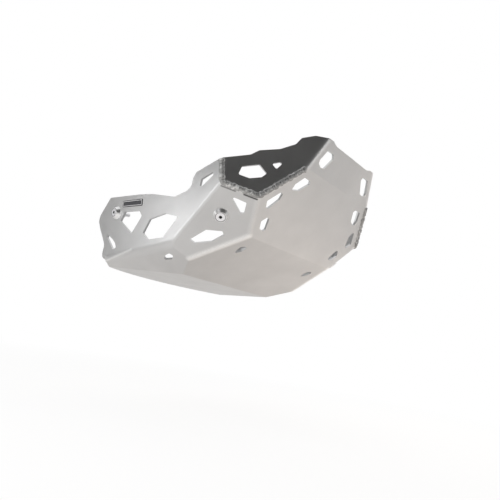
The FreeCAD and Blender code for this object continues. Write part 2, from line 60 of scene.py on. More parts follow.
# %% Corners and facing directions
MM = 0.001
HANDS = (("right", False), ("left", True))
WING_TIP = np.array((122.8, -215.1, 170.7)) * MM
WING_FOOT = np.array((127.7, -210.9, 133.2)) * MM
CHEEK_FOOT = np.array((166.4, -163.3, 123.4)) * MM
CHEEK_FRONT = np.array((209.2, -106.9, 186.8)) * MM
NOSE_CORNER = np.array((128.9, -127.7, 67.8)) * MM
RAMP_CORNER = np.array((31.3, -158.0, 21.2)) * MM
FRONT_TOP = np.array((226.8, -82.2, 243.8)) * MM
SIDE_CORNER = np.array((14.7, -192.9, 36.9)) * MM
REAR_CORNER = np.array((-178.0, -178.3, 8.2)) * MM
RIDGE_END = np.array((-95.5, -185.7, 30.9)) * MM


def facing(yaw, tilt):
    """Outward direction of a right-hand facet: yaw turns it from side to front, and tilt turns it down."""
    yaw, tilt = np.radians((yaw, tilt))
    return np.array((np.cos(tilt) * np.sin(yaw), -np.cos(tilt) * np.cos(yaw), -np.sin(tilt)))


SIDE = facing(-3.3, 6.8)
BEVEL = facing(12.45, 62.73)
PANEL = facing(42.3, 42.9)
CHEEK = facing(51.2, -1.8)
FRONT = facing(90.0, 34.0)


def unit(rows):
    """Each vector divided by its own length."""
    return rows / np.linalg.norm(rows, axis=-1, keepdims=True)


print("angle between side and bevel:", round(float(np.degrees(np.arccos(SIDE @ BEVEL))), 1), "degrees")

# %% [markdown]
# ## From rings of points to a closed mesh
# Both new pieces are a cross-section carried along a line. Each step of the line gives one ring of points,
# and neighbouring rings are joined by quads. Index arithmetic on whole arrays makes the faces, and a polygon
# closes each end, so the mesh is a sealed body like the solids are.

# %% Closed meshes from rings
SHARP_ANGLE = np.radians(50)


def ringed_piece(name, rings, mirrored):
    """Joins ring i, point j to ring i + 1, point j + 1 by a quad, round each ring, and caps both ends."""
    steps, count = rings.shape[:2]
    points = rings.reshape(-1, 3) * ((1, -1, 1) if mirrored else (1, 1, 1))
    ring, spot = np.meshgrid(np.arange(steps - 1), np.arange(count), indexing="ij")
    beside = (spot + 1) % count
    quads = np.stack((ring * count + spot, ring * count + beside,
                      (ring + 1) * count + beside, (ring + 1) * count + spot), axis=-1).reshape(-1, 4)
    caps = [list(range(count)), list(range((steps - 1) * count, steps * count))]
    mesh = bpy.data.meshes.new(name)
    mesh.from_pydata(points.tolist(), [], quads.tolist() + caps)
    shell = bmesh.new()
    shell.from_mesh(mesh)
    bmesh.ops.recalc_face_normals(shell, faces=shell.faces)
    shell.to_mesh(mesh)
    shell.free()
    mesh.shade_smooth()
    mesh.set_sharp_from_angle(angle=SHARP_ANGLE)
    piece = bpy.data.objects.new(name, mesh)
    bpy.context.scene.collection.objects.link(piece)
    print(name, "has", len(mesh.polygons), "faces")
    return piece


# %% [markdown]
# ## The weld bead round each cheek plate
# The cheek plate is a separate flap of the sheet, closed by a hand-laid bead that runs down the wing, along
# the panel and up the front. Filler goes down in drops, so the bead is a row of overlapping crescents, with
# lumps where more of it went down. A displacement texture could fake that, but drops and lumps are real
# geometry, so the bead is a flattened half-round profile whose radius follows a formula along its length.

# %% The bead's path
BEAD_RADIUS = 3.9 * MM
BEAD_SINK = 2.2 * MM
BEAD_STEP = 0.35 * MM
CORNER_SOFTNESS = 12 * MM


def softened(rows):
    """Moving average of the rows over the corner softness, with the two ends held where they are."""
    half = int(CORNER_SOFTNESS / BEAD_STEP / 2)
    index = np.arange(len(rows))
    reach = np.minimum(half, np.minimum(index, len(rows) - 1 - index))
    total = np.vstack((np.zeros(rows.shape[1]), np.cumsum(rows, axis=0)))
    return (total[index + reach + 1] - total[index - reach]) / (2 * reach + 1)[:, None]


def bead_path():
    """Points every bead step along the seam's straight runs, corners softened, each with its outward way."""
    corners = np.array((WING_TIP, WING_FOOT, CHEEK_FOOT, CHEEK_FRONT))
    outward = unit(np.array((SIDE + CHEEK, PANEL + CHEEK, FRONT + CHEEK)))
    lengths = np.linalg.norm(np.diff(corners, axis=0), axis=1)
    ends = np.concatenate(((0,), np.cumsum(lengths)))
    along = np.linspace(0, ends[-1], int(ends[-1] / BEAD_STEP))
    line = np.stack([np.interp(along, ends, corners[:, axis]) for axis in range(3)], axis=1)
    run = np.clip(np.searchsorted(ends, along, side="right") - 1, 0, len(lengths) - 1)
    return along, softened(line), unit(softened(outward[run]))


seam_along, seam_line, seam_outward = bead_path()
print("bead length:", round(float(seam_along[-1] / MM), 1), "mm")

# %% The bead's rippled surface
BEAD_SPREAD = 1.25
BEAD_SPOTS = 21
BEAD_PHASES = {"right": 0.4, "left": 2.3}
DROP_PITCH = 4.2 * MM
DROP_BOW = 0.45
DROP_RELIEF = 0.09
DROP_STEEPNESS = 0.35
PITCH_DRIFT = 1.5
DRIFT_LENGTH = 7 * MM
END_TAPER = 3.0 * MM
TAPER_TIP = 0.02
# Each wave has a length, a share of the radius, and a multiple of the bead's phase.
SWELL_WAVES = ((9.4 * MM, 0.08, 1), (14.5 * MM, 0.07, 2), (27.0 * MM, 0.05, 3))


def rippled_bead(phase):
    """Radius = bead radius x end taper x (1 + swell(s) + relief x drop(s - bow cos v) cos v).

    s runs along the seam and v across the top of the bead. Sideways the radius counts BEAD_SPREAD times.
    drop is a smooth saw that rises steeply and falls slowly along s, with a pitch that drifts. swell adds
    three longer waves of unequal length, so that the bead is lumpy without an even beat.
    """
    s = seam_along[:, None]
    v = np.linspace(-np.pi / 2, np.pi / 2, BEAD_SPOTS)[None, :]
    swell = sum(share * np.sin(2 * np.pi * s / wave + order * phase) for wave, share, order in SWELL_WAVES)
    drift = PITCH_DRIFT * np.sin(s / DRIFT_LENGTH + phase)
    turn = 2 * np.pi * (s / DROP_PITCH - DROP_BOW * np.cos(v)) + drift
    drop = np.sin(turn) + DROP_STEEPNESS * np.sin(2 * turn)
    from_end = np.minimum(s, seam_along[-1] - s)
    taper = np.sqrt(1 - (1 - np.clip(from_end / END_TAPER, TAPER_TIP, 1)) ** 2)
    radius = BEAD_RADIUS * taper * (1 + swell + DROP_RELIEF * drop * np.cos(v))
    forward = unit(np.gradient(seam_line, axis=0))
    outward = unit(seam_outward - forward * np.sum(seam_outward * forward, axis=1, keepdims=True))
    across = BEAD_SPREAD * np.cross(forward, outward)
    centre = seam_line - outward * BEAD_SINK
    spread = np.sin(v)[..., None] * across[:, None] + np.cos(v)[..., None] * outward[:, None]
    return centre[:, None] + radius[..., None] * spread


beads = {}
for hand, mirrored in HANDS:
    bead = ringed_piece(f"rippled_bead_{hand}", rippled_bead(BEAD_PHASES[hand]), mirrored)
    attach(bead, "root")
    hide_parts(f"weld_bead_{hand}")
    beads[hand] = bead

# %% [markdown]
# ## The ground ridge at each rear corner
# Along most of its length the side plate rolls over into the bevel with a wide bend. At the rear corner the
# two meet in a thin crest, read here as a weld that was ground, which runs out on the side plate. A crease
# in the solid would need a bend of changing radius, so the crest is a body of its own that sits on the bend.
# Its height there is a rounded tent, high and broad at the corner, low and narrow at its end.

# %% The ridge surface
BEND_RADIUS = 24.0 * MM
RIDGE_LENGTH = 86.0 * MM
RIDGE_START = 0.6 * MM
RIDGE_DRIFT = np.radians(-22.0)
RIDGE_WIDE = np.radians(27.0)
RIDGE_NARROW = np.radians(9.0)
RIDGE_LOW = 0.75 * MM
RIDGE_ROOT = 1.2 * MM
RIDGE_STEPS = 120
RIDGE_SPOTS = 41
CREST_SOFTNESS = 0.06
RUN_OUT = 0.12
RUN_OUT_TIP = 0.01
EDGE_TUCK = 0.15 * MM
EDGE_POWER = 8


def rounded_peak(x):
    """The size of x with the corner at 0 rounded: sqrt(x^2 + softness^2) - softness."""
    return np.sqrt(x ** 2 + CREST_SOFTNESS ** 2) - CREST_SOFTNESS


def ridge_rings():
    """Polar height over the bend: radius(s, a) = bend radius + height(s) x tent((a - drift(s)) / width(s)).

    s runs along the fold from the rear corner and a is the angle round the bend, 0 at the middle of the fold.
    tent is 1 at the crest and 0 at the ridge's edges, which are tucked a little way into the bend. width
    narrows with the square root of s. height falls with the cube of what is left of s, and then runs out.
    """
    fold = unit(SIDE_CORNER - REAR_CORNER)
    middle = unit(SIDE + BEVEL)
    across = np.cross(fold, middle)
    across = across * np.sign(across @ BEVEL)
    half_turn = np.arccos(SIDE @ BEVEL) / 2
    share = np.linspace(0, 1, RIDGE_STEPS)[:, None]
    place = np.linspace(-1, 1, RIDGE_SPOTS)[None, :]
    width = RIDGE_WIDE + (RIDGE_NARROW - RIDGE_WIDE) * np.sqrt(share)
    full_height = BEND_RADIUS * (1 / np.cos(half_turn) - 1)
    height = RIDGE_LOW + (full_height - RIDGE_LOW) * (1 - share) ** 3
    height = height * np.sqrt(np.clip((1 - share) / RUN_OUT, RUN_OUT_TIP, 1))
    tent = 1 - rounded_peak(place) / rounded_peak(1)
    angle = RIDGE_DRIFT * share + width * place
    top = BEND_RADIUS + height * tent - EDGE_TUCK * place ** EDGE_POWER
    root = np.full_like(top, BEND_RADIUS - RIDGE_ROOT)
    angles = np.concatenate((angle, angle[:, ::-1]), axis=1)
    radius = np.concatenate((top, root), axis=1)
    start = REAR_CORNER + fold * RIDGE_START
    axis = start + fold * RIDGE_LENGTH * share - middle * BEND_RADIUS / np.cos(half_turn)
    spread = np.cos(angles)[..., None] * middle + np.sin(angles)[..., None] * across
    return axis[:, None] + radius[..., None] * spread


ridges = {}
for hand, mirrored in HANDS:
    ridge = ringed_piece(f"ground_ridge_{hand}", ridge_rings(), mirrored)
    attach(ridge, "root")
    ridges[hand] = ridge

# %% [markdown]
# ## Shared effects as node groups
# Every finish of the guard shares two things: a fine grain, and a tone that drifts over a few centimetres. A
# node group with named sockets holds that once. A second group measures the distance from a straight seam,
# so that a band along it can be lighter and coarser than the sheet beside it, partly as painted highlight,
# and so that a line beside it can carry painted shadow. A third draws the rings that a lathe leaves, and
# marks the line round a screw's head and its socket, where painted shade goes.


# %% Small helpers for nodes
def feed(tree, socket, value):
    """Links the value into the socket if it comes from a node, and otherwise sets it there."""
    if isinstance(value, bpy.types.NodeSocket):
        tree.links.new(value, socket)
    else:
        socket.default_value = value


def placed(tree, kind, *values, operation=None, **named):
    """A new node of that kind: values go into its inputs in order, and named ones by their labels."""
    node = tree.nodes.new(kind)
    if operation:
        node.operation = operation
    for socket, value in zip(node.inputs, values):
        feed(tree, socket, value)
    for label, value in named.items():
        feed(tree, node.inputs[label.replace("_", " ")], value)
    return node


def sums(tree, operation, *values):
    """The number that a Math node makes of the values."""
    return placed(tree, "ShaderNodeMath", *values, operation=operation).outputs[0]


def vectors(tree, operation, *values, **named):
    """The vector that a Vector Math node makes of the values."""
    return placed(tree, "ShaderNodeVectorMath", *values, operation=operation, **named).outputs[0]


def measures(tree, operation, *values):
    """The number that a Vector Math node makes of the values, such as a length."""
    return placed(tree, "ShaderNodeVectorMath", *values, operation=operation).outputs[1]


def ranged(tree, value, interpolation="LINEAR", **limits):
    """The value mapped from the From limits to the To limits, which are 0 and 1 where none are given."""
    node = placed(tree, "ShaderNodeMapRange", Value=value, **limits)
    node.interpolation_type = interpolation
    return node.outputs[0]


def noise(tree, place, **values):
    """The strength of a noise texture at that place, about 0.5 on average."""
    return placed(tree, "ShaderNodeTexNoise", Vector=place, **values).outputs[0]


def group_with(name, inputs, outputs):
    """A new shader group with those sockets, and its two end nodes."""
    tree = bpy.data.node_groups.new(name, "ShaderNodeTree")
    for label, kind, start in inputs:
        socket = tree.interface.new_socket(label, in_out="INPUT", socket_type=f"NodeSocket{kind}")
        socket.default_value = start
    for label, kind in outputs:
        tree.interface.new_socket(label, in_out="OUTPUT", socket_type=f"NodeSocket{kind}")
    return tree, tree.nodes.new("NodeGroupInput").outputs, tree.nodes.new("NodeGroupOutput").inputs


# %% Grain and drifting tone
NOISE_MIDDLE = 0.5
GRAIN_NOISE = {"Detail": 2.0, "Roughness": 0.6}
CLOUD_NOISE = {"Scale": 16.0, "Detail": 4.0, "Roughness": 0.55}
CLOUD_SHEEN = 0.16


def make_metal_grain():
    """Tone = base tone x (1 + drift x cloud + speck x grain). Grain Size is in millimetres.

    Roughness falls where the cloud is light, and Height is the grain itself.
    """
    tree, given, result = group_with(
        "metal_grain",
        (("Place", "Vector", (0, 0, 0)), ("Tone", "Color", (0.6, 0.6, 0.6, 1)),
         ("Grain Size", "Float", 0.5), ("Drift", "Float", 0.1), ("Speck", "Float", 0.05),
         ("Roughness", "Float", 0.4)),
        (("Color", "Color"), ("Roughness", "Float"), ("Height", "Float")))
    fineness = sums(tree, "DIVIDE", 1 / MM, given["Grain Size"])
    grain = noise(tree, given["Place"], Scale=fineness, **GRAIN_NOISE)
    cloud = noise(tree, given["Place"], **CLOUD_NOISE)
    grain_step = sums(tree, "SUBTRACT", grain, NOISE_MIDDLE)
    cloud_step = sums(tree, "SUBTRACT", cloud, NOISE_MIDDLE)
    lift = sums(tree, "ADD", sums(tree, "MULTIPLY", grain_step, given["Speck"]),
                sums(tree, "MULTIPLY", cloud_step, given["Drift"]))
    gain = sums(tree, "ADD", lift, 1.0)
    sheen = sums(tree, "MULTIPLY", cloud_step, CLOUD_SHEEN)
    feed(tree, result["Color"], vectors(tree, "SCALE", given["Tone"], Scale=gain))
    feed(tree, result["Roughness"], sums(tree, "SUBTRACT", given["Roughness"], sheen))
    feed(tree, result["Height"], grain)
    return tree


metal_grain = make_metal_grain()
print("group:", metal_grain.name, [item.name for item in metal_grain.interface.items_tree])


# %% Distance from a straight seam
def make_seam_band():
    """Mask = smooth fall from 1 on the line From-To to 0 at Half Width, by the nearest point of the line."""
    tree, given, result = group_with(
        "seam_band",
        (("Place", "Vector", (0, 0, 0)), ("From", "Vector", (0, 0, 0)), ("To", "Vector", (1, 0, 0)),
         ("Half Width", "Float", 0.005)),
        (("Mask", "Float"),))
    run = vectors(tree, "SUBTRACT", given["To"], given["From"])
    away = vectors(tree, "SUBTRACT", given["Place"], given["From"])
    share = sums(tree, "DIVIDE", measures(tree, "DOT_PRODUCT", away, run),
                 measures(tree, "DOT_PRODUCT", run, run))
    limited = placed(tree, "ShaderNodeClamp", Value=share).outputs[0]
    gap = measures(tree, "DISTANCE", away, vectors(tree, "SCALE", run, Scale=limited))
    fall = ranged(tree, gap, "SMOOTHSTEP", From_Max=given["Half Width"], To_Min=1.0, To_Max=0.0)
    feed(tree, result["Mask"], fall)
    return tree


seam_band = make_seam_band()
print("group:", seam_band.name, [item.name for item in seam_band.interface.items_tree])


# %% Rings left by a lathe
def make_lathe_rings():
    """Height = sine of the distance d from the axis through Seat along Axis, one turn for each Pitch.

    Rim falls from 1 where d is the Rim Radius to 0 a Rim Width away. Hollow is 1 where d is under the Hollow
    Radius. Both are 0 nearer than the Head Depth to Seat, measured against Axis, so they mark the head's end.
    The finish uses them for painted shade.
    """
    tree, given, result = group_with(
        "lathe_rings",
        (("Place", "Vector", (0, 0, 0)), ("Seat", "Vector", (0, 0, 0)), ("Axis", "Vector", (0, 0, 1)),
         ("Pitch", "Float", 0.0004), ("Rim Radius", "Float", 0.008), ("Rim Width", "Float", 0.0005),
         ("Hollow Radius", "Float", 0.002), ("Head Depth", "Float", 0.01)),
        (("Height", "Float"), ("Rim", "Float"), ("Hollow", "Float")))
    away = vectors(tree, "SUBTRACT", given["Place"], given["Seat"])
    distance = measures(tree, "LENGTH", vectors(tree, "CROSS_PRODUCT", away, given["Axis"]))
    turn = sums(tree, "MULTIPLY", sums(tree, "DIVIDE", distance, given["Pitch"]), 2 * np.pi)
    off_rim = sums(tree, "ABSOLUTE", sums(tree, "SUBTRACT", distance, given["Rim Radius"]))
    nearness = sums(tree, "SUBTRACT", 1.0, sums(tree, "DIVIDE", off_rim, given["Rim Width"]))
    rim = placed(tree, "ShaderNodeClamp", Value=nearness).outputs[0]
    hollow = sums(tree, "LESS_THAN", distance, given["Hollow Radius"])
    ahead = measures(tree, "DOT_PRODUCT", away, given["Axis"])
    at_head = sums(tree, "LESS_THAN", sums(tree, "ADD", ahead, given["Head Depth"]), 0.0)
    feed(tree, result["Height"], sums(tree, "SINE", turn))
    feed(tree, result["Rim"], sums(tree, "MULTIPLY", rim, at_head))
    feed(tree, result["Hollow"], sums(tree, "MULTIPLY", hollow, at_head))
    return tree


lathe_rings = make_lathe_rings()
print("group:", lathe_rings.name, [item.name for item in lathe_rings.interface.items_tree])

# %% [markdown]
# ## Finishes
# Each finish is one shader fed by the groups. Place comes from Object coordinates, which the solids share, so
# a pattern runs on across a fold without a seam. For the seams of the pan and its filler, y is folded over
# to one side first, because the guard's two halves are taken to be alike.

# %% A shader to start from
METAL = 1.0
NOT_METAL = 0.0
MIX_FACTOR, MIX_LOW, MIX_HIGH, MIX_RESULT = 0, 6, 7, 2


def new_finish(name, metallic):
    """A material with a Principled shader, its node tree, the shader, and the Object coordinates."""
    material = bpy.data.materials.new(name)
    material.use_nodes = True
    tree = material.node_tree
    shader = tree.nodes["Principled BSDF"]
    shader.inputs["Metallic"].default_value = metallic
    place = tree.nodes.new("ShaderNodeTexCoord").outputs["Object"]
    return material, tree, shader, place


def used(tree, group, **values):
    """The outputs of a group placed in the tree with those values."""
    node = tree.nodes.new("ShaderNodeGroup")
    node.node_tree = group
    for label, value in values.items():
        feed(tree, node.inputs[label.replace("_", " ")], value)
    return node.outputs


def bumped(tree, shader, height, distance):
    """Feeds a height in units of distance metres to the shader's normal."""
    bump = placed(tree, "ShaderNodeBump", Height=height, Distance=distance)
    feed(tree, shader.inputs["Normal"], bump.outputs[0])


def mixed(tree, mask, low, high):
    """The colour that goes from low to high as the mask goes from 0 to 1."""
    node = tree.nodes.new("ShaderNodeMix")
    node.data_type = "RGBA"
    for index, value in ((MIX_FACTOR, mask), (MIX_LOW, low), (MIX_HIGH, high)):
        feed(tree, node.inputs[index], value)
    return node.outputs[MIX_RESULT]


def dress(piece, finish):
    """Gives the piece that finish alone."""
    piece.data.materials.clear()
    piece.data.materials.append(finish)


# %% Bands along the seams, alike on both sides
def folded_over(tree, place):
    """The place with y turned to the right side: (x, -|y|, z)."""
    parts = placed(tree, "ShaderNodeSeparateXYZ", Vector=place).outputs
    right_y = sums(tree, "MULTIPLY", sums(tree, "ABSOLUTE", parts["Y"]), -1.0)
    return placed(tree, "ShaderNodeCombineXYZ", X=parts["X"], Y=right_y, Z=parts["Z"]).outputs[0]


def strongest_band(tree, place, seams):
    """The largest of weight x mask among the seams, each given as start, end, half width and weight."""
    band = 0.0
    for start, end, half, weight in seams:
        mask = used(tree, seam_band, Place=place, From=start, To=end, Half_Width=half)["Mask"]
        band = sums(tree, "MAXIMUM", band, sums(tree, "MULTIPLY", mask, weight))
    return band


# %% [markdown]
# ### Blasted sheet
# Bead blasting leaves a soft satin skin with a half-millimetre grain. Pale bands run along the folds at the
# nose, beside the filler bead and along the rear ridge. They are partly welds ground flush and metal paled by
# heat, and partly painted highlight, where a rounded edge would catch the light. Two short dark lines below
# the bead's middle run are painted shadow in a slit between the two plates. A cut in the mesh would claim
# more than can be seen there, so bands and lines are tones.

# %% The blasted sheet
SHEET_GRAIN = {"Tone": (0.60, 0.60, 0.60, 1), "Grain_Size": 0.45, "Drift": 0.16, "Speck": 0.10,
               "Roughness": 0.36}
SHEET_BUMP = 0.06 * MM
# Pale tone of the seam bands: partly ground welds, partly painted highlight on rounded edges.
GROUND_AND_HIGHLIGHT_TONE = (0.92, 0.92, 0.915, 1)
GROUND_AND_HIGHLIGHT_NOISE = {"Scale": 420.0, "Detail": 3.0}
GROUND_AND_HIGHLIGHT_LEAST = 0.35
GROUND_ROUGHNESS = 0.14
GROUND_HEIGHT = 1.5
GROUND_AND_HIGHLIGHT_SEAMS = (
    (CHEEK_FOOT, NOSE_CORNER, 8.0 * MM, 0.3), (NOSE_CORNER, RAMP_CORNER, 10.0 * MM, 1.2),
    (CHEEK_FRONT, FRONT_TOP, 9.0 * MM, 0.6), (CHEEK_FOOT, CHEEK_FRONT, 9.0 * MM, 0.5),
    (WING_FOOT, CHEEK_FOOT, 8.0 * MM, 0.5), (WING_TIP, WING_FOOT, 9.0 * MM, 0.4),
    (REAR_CORNER, RIDGE_END, 3.5 * MM, 0.5),
)
# Painted shadow in the slit between the two plates below the bead.
SLIT_SHADOW_TONE = (0.05, 0.05, 0.05, 1)
SLIT_HALF_WIDTH = 2.4 * MM
SLIT_OFFSET = 6.6 * MM
# Each run starts and ends at a share of the seam's length, and has a weight.
SLIT_RUNS = ((0.03, 0.40, 0.7), (0.64, 0.99, 1.0))


def slit_shadow_seams():
    """Lines of painted shadow on the panel, the set offset below the seam from wing to cheek, between two
    shares of it.
    """
    run = CHEEK_FOOT - WING_FOOT
    below = unit(np.cross(run, PANEL))
    below = below * -np.sign(below @ CHEEK)
    edge = WING_FOOT + below * SLIT_OFFSET
    return [(edge + run * start, edge + run * end, SLIT_HALF_WIDTH, weight)
            for start, end, weight in SLIT_RUNS]


def blasted_sheet():
    """Grain tone, mixed by the strongest band among the seams to a pale tone that is partly weld grinding and
    partly painted highlight, and painted shadow along the gap below the bead.
    """
    material, tree, shader, place = new_finish("blasted_sheet", METAL)
    folded = folded_over(tree, place)
    grain = used(tree, metal_grain, Place=place, **SHEET_GRAIN)
    patchy = sums(tree, "ADD", noise(tree, place, **GROUND_AND_HIGHLIGHT_NOISE), GROUND_AND_HIGHLIGHT_LEAST)
    ground_and_highlight = sums(tree, "MULTIPLY", strongest_band(tree, folded, GROUND_AND_HIGHLIGHT_SEAMS), patchy)
    tone = mixed(tree, ground_and_highlight, grain["Color"], GROUND_AND_HIGHLIGHT_TONE)
    slit_shadow = strongest_band(tree, folded, slit_shadow_seams())
    coarser = sums(tree, "MULTIPLY", ground_and_highlight, GROUND_ROUGHNESS)
    raised = sums(tree, "MULTIPLY", ground_and_highlight, GROUND_HEIGHT)
    feed(tree, shader.inputs["Base Color"], mixed(tree, slit_shadow, tone, SLIT_SHADOW_TONE))
    feed(tree, shader.inputs["Roughness"], sums(tree, "ADD", grain["Roughness"], coarser))
    bumped(tree, shader, sums(tree, "ADD", grain["Height"], raised), SHEET_BUMP)
    return material


sheet_finish = blasted_sheet()
print("finish:", sheet_finish.name)

# %% [markdown]
# ### Weld filler
# The filler is taken as the same metal, left as it set: duller and rougher than the sheet, with a fine crust.
# Bright blotches a few millimetres wide are partly its own patchy tone and partly painted glints. The bead's
# front run looks darker, and its run down the wing a little, so both have a duller tone. Why they look so
# isn't known. One noise could make crust and blotches together, but their sizes differ too much for that.

# %% The weld filler
FILLER_GRAIN = {"Tone": (0.42, 0.42, 0.415, 1), "Grain_Size": 0.8, "Drift": 0.6, "Speck": 0.25,
                "Roughness": 0.46}
FILLER_BUMP = 0.18 * MM
# Bright blotch tone: partly the filler's own patchy tone, partly painted glints.
GLINT_BLOTCH_TONE = (0.85, 0.85, 0.84, 1)
BLOTCH_NOISE = {"Scale": 150.0, "Detail": 2.0}
BLOTCH_LIMITS = {"From_Min": 0.46, "From_Max": 0.70}
DULL_TONE = (0.20, 0.20, 0.20, 1)
DULLER_SEAMS = ((CHEEK_FOOT, CHEEK_FRONT, 14.0 * MM, 0.5), (WING_TIP, WING_FOOT, 14.0 * MM, 0.2))


def weld_filler():
    """Dull grain with bright blotches that are partly painted glints, duller again along two runs, and a
    coarse crust in the height.
    """
    material, tree, shader, place = new_finish("weld_filler", METAL)
    grain = used(tree, metal_grain, Place=place, **FILLER_GRAIN)
    glint_blotch = ranged(tree, noise(tree, place, **BLOTCH_NOISE), "SMOOTHSTEP", **BLOTCH_LIMITS)
    tone = mixed(tree, glint_blotch, grain["Color"], GLINT_BLOTCH_TONE)
    duller = strongest_band(tree, folded_over(tree, place), DULLER_SEAMS)
    feed(tree, shader.inputs["Base Color"], mixed(tree, duller, tone, DULL_TONE))
    feed(tree, shader.inputs["Roughness"], grain["Roughness"])
    bumped(tree, shader, grain["Height"], FILLER_BUMP)
    return material


filler_finish = weld_filler()
print("finish:", filler_finish.name)

# %% Dress the pan, the filler and the ridges
dress(nodes["guard_pan"], sheet_finish)
for hand in beads:
    dress(beads[hand], filler_finish)
    dress(ridges[hand], sheet_finish)
    dress(nodes[f"weld_bead_{hand}"], filler_finish)
print("dressed: guard_pan,", ", ".join(piece.name for piece in (*beads.values(), *ridges.values())))

# %% [markdown]
# ### Turned washers and sleeves, bright screws
# The cone washers and the hidden sleeves are turned parts, so they carry fine rings round their own axis. The
# screws are bright stainless steel. Painted shade darkens the gap where a head sits in its washer, and the
# socket in the head. A ring pattern needs each part's axis, which the record gives: the mounts lie on the
# axes of the screws.

# %% Turned and bright metal
TURNED_GRAIN = {"Grain_Size": 0.3, "Drift": 0.08, "Speck": 0.12, "Roughness": 0.34}
# Each turning has a tone, a ring pitch and a ring height.
TURNINGS = {"turned": ((0.86, 0.86, 0.86, 1), 0.42 * MM, 0.012 * MM),
            "bright": ((0.86, 0.86, 0.88, 1), 0.25 * MM, 0.006 * MM)}
TURNING_OF = {"washer": "turned", "spacer": "turned", "screw": "bright"}
# Painted shade in the gap round each screw head and in its socket.
GAP_SHADE_TONE = (0.10, 0.10, 0.10, 1)
HEAD_SHADE_MARKS = {"Rim_Radius": 8.1 * MM, "Rim_Width": 0.9 * MM, "Hollow_Radius": 2.8 * MM,
              "Head_Depth": 17.5 * MM}


def turned_finish(name, mount, tone, pitch, ring_height):
    """Grain for tone and roughness, lathe rings for the height, painted shade in the socket and round the
    head.
    """
    material, tree, shader, place = new_finish(name, METAL)
    grain = used(tree, metal_grain, Place=place, Tone=tone, **TURNED_GRAIN)
    rings = used(tree, lathe_rings, Place=place, Seat=mount["pos_m"], Axis=mount["axis"], Pitch=pitch,
                 **HEAD_SHADE_MARKS)
    shaded = sums(tree, "MAXIMUM", rings["Rim"], rings["Hollow"])
    feed(tree, shader.inputs["Base Color"], mixed(tree, shaded, grain["Color"], GAP_SHADE_TONE))
    feed(tree, shader.inputs["Roughness"], grain["Roughness"])
    bumped(tree, shader, rings["Height"], ring_height)
    return material


for mount in frame["record"]["mounts"]:
    end, _, hand, _ = mount["name"].split("_")
    finishes = {turning: turned_finish(f"{turning}_{end}_{hand}", mount, *values)
                for turning, values in TURNINGS.items()}
    for kind, turning in TURNING_OF.items():
        dress(nodes[f"{end}_{kind}_{hand}"], finishes[turning])
    print("seat:", end, hand)

# %% [markdown]
# ### The badge plate
# A thin dark film plate is stuck to the right side. It stays bare, with only a pale line inside its edge.
# The line is thin and looks flat, so it is a tone rather than a strip of mesh. The badge lies level in the
# tilted side plate, so its two directions follow from that plate's facing.

# %% The badge finish
BADGE_GRAIN = {"Tone": (0.035, 0.035, 0.04, 1), "Grain_Size": 0.25, "Drift": 0.3, "Speck": 0.4,
               "Roughness": 0.45}
BADGE_BUMP = 0.03 * MM
BORDER_TONE = (0.60, 0.60, 0.60, 1)
BORDER_INSET = 1.9 * MM
BORDER_LINE = 0.9 * MM


def badge_axes():
    """The plate's centre, and its long and its short direction, each with the plate's half size that way."""
    mesh = nodes["badge_plate"].data
    points = np.empty(len(mesh.vertices) * 3)
    mesh.vertices.foreach_get("co", points)
    points = points.reshape(-1, 3)
    centre = (points.min(axis=0) + points.max(axis=0)) / 2
    along = unit(np.cross((0, 0, 1), SIDE))
    across = np.cross(SIDE, along)
    return centre, [(way, float(np.abs((points - centre) @ way).max())) for way in (along, across)]


def badge_film():
    """Dark matt film, with a border where the distance from the edge is within half a line of the inset."""
    material, tree, shader, place = new_finish("badge_film", NOT_METAL)
    centre, ways = badge_axes()
    away = vectors(tree, "SUBTRACT", place, centre)
    edges = []
    for way, half in ways:
        reach = sums(tree, "ABSOLUTE", measures(tree, "DOT_PRODUCT", away, way))
        edges.append(sums(tree, "SUBTRACT", half, reach))
    inside = sums(tree, "MINIMUM", *edges)
    off_line = sums(tree, "ABSOLUTE", sums(tree, "SUBTRACT", inside, BORDER_INSET))
    line = sums(tree, "LESS_THAN", off_line, BORDER_LINE / 2)
    grain = used(tree, metal_grain, Place=place, **BADGE_GRAIN)
    feed(tree, shader.inputs["Base Color"], mixed(tree, line, grain["Color"], BORDER_TONE))
    feed(tree, shader.inputs["Roughness"], grain["Roughness"])
    bumped(tree, shader, grain["Height"], BADGE_BUMP)
    return material


dress(nodes["badge_plate"], badge_film())
print("dressed: badge_plate")

# %% [markdown]
# ## Floor, cards and light
# Satin metal looks like what stands round it. A pale floor lies below, the room is white, and four plain
# cards give the plates something darker to mirror: one ahead and above, for the cheek plate, two behind, for
# the side plate, and a pale one ahead on the left, for the front. The camera doesn't see the cards, and they
# cast no shadow.

# %% The floor
WHITE = (1, 1, 1, 1)
FLOOR_HEIGHT = -0.26
FLOOR_WIDTH = 24
FLOOR_TONE = (0.86, 0.85, 0.84, 1)
FLOOR_ROUGHNESS = 0.9
FLOOR_SPECULAR = 0.1
FAR_LIMITS = {"From_Min": 0.9, "From_Max": 3.2}
LIFT_LIMITS = {"From_Min": 0.35, "From_Max": 1.5, "To_Min": 0.88}
NEARLY_LEVEL = 0.9


def flat_card(name, centre, normal, width, height):
    """A rectangle: centre + u x width / 2 x across + v x height / 2 x up, for u and v of -1 and 1."""
    normal = unit(np.array(normal, float))
    guide = (0, 1, 0) if abs(normal[2]) > NEARLY_LEVEL else (0, 0, 1)
    across = unit(np.cross(guide, normal))
    up = np.cross(normal, across)
    corners = np.array(((-1, -1), (1, -1), (1, 1), (-1, 1))) * (width / 2, height / 2)
    points = np.array(centre) + corners[:, :1] * across + corners[:, 1:] * up
    mesh = bpy.data.meshes.new(name)
    mesh.from_pydata(points.tolist(), [], [(0, 1, 2, 3)])
    card = bpy.data.objects.new(name, mesh)
    bpy.context.scene.collection.objects.link(card)
    return card


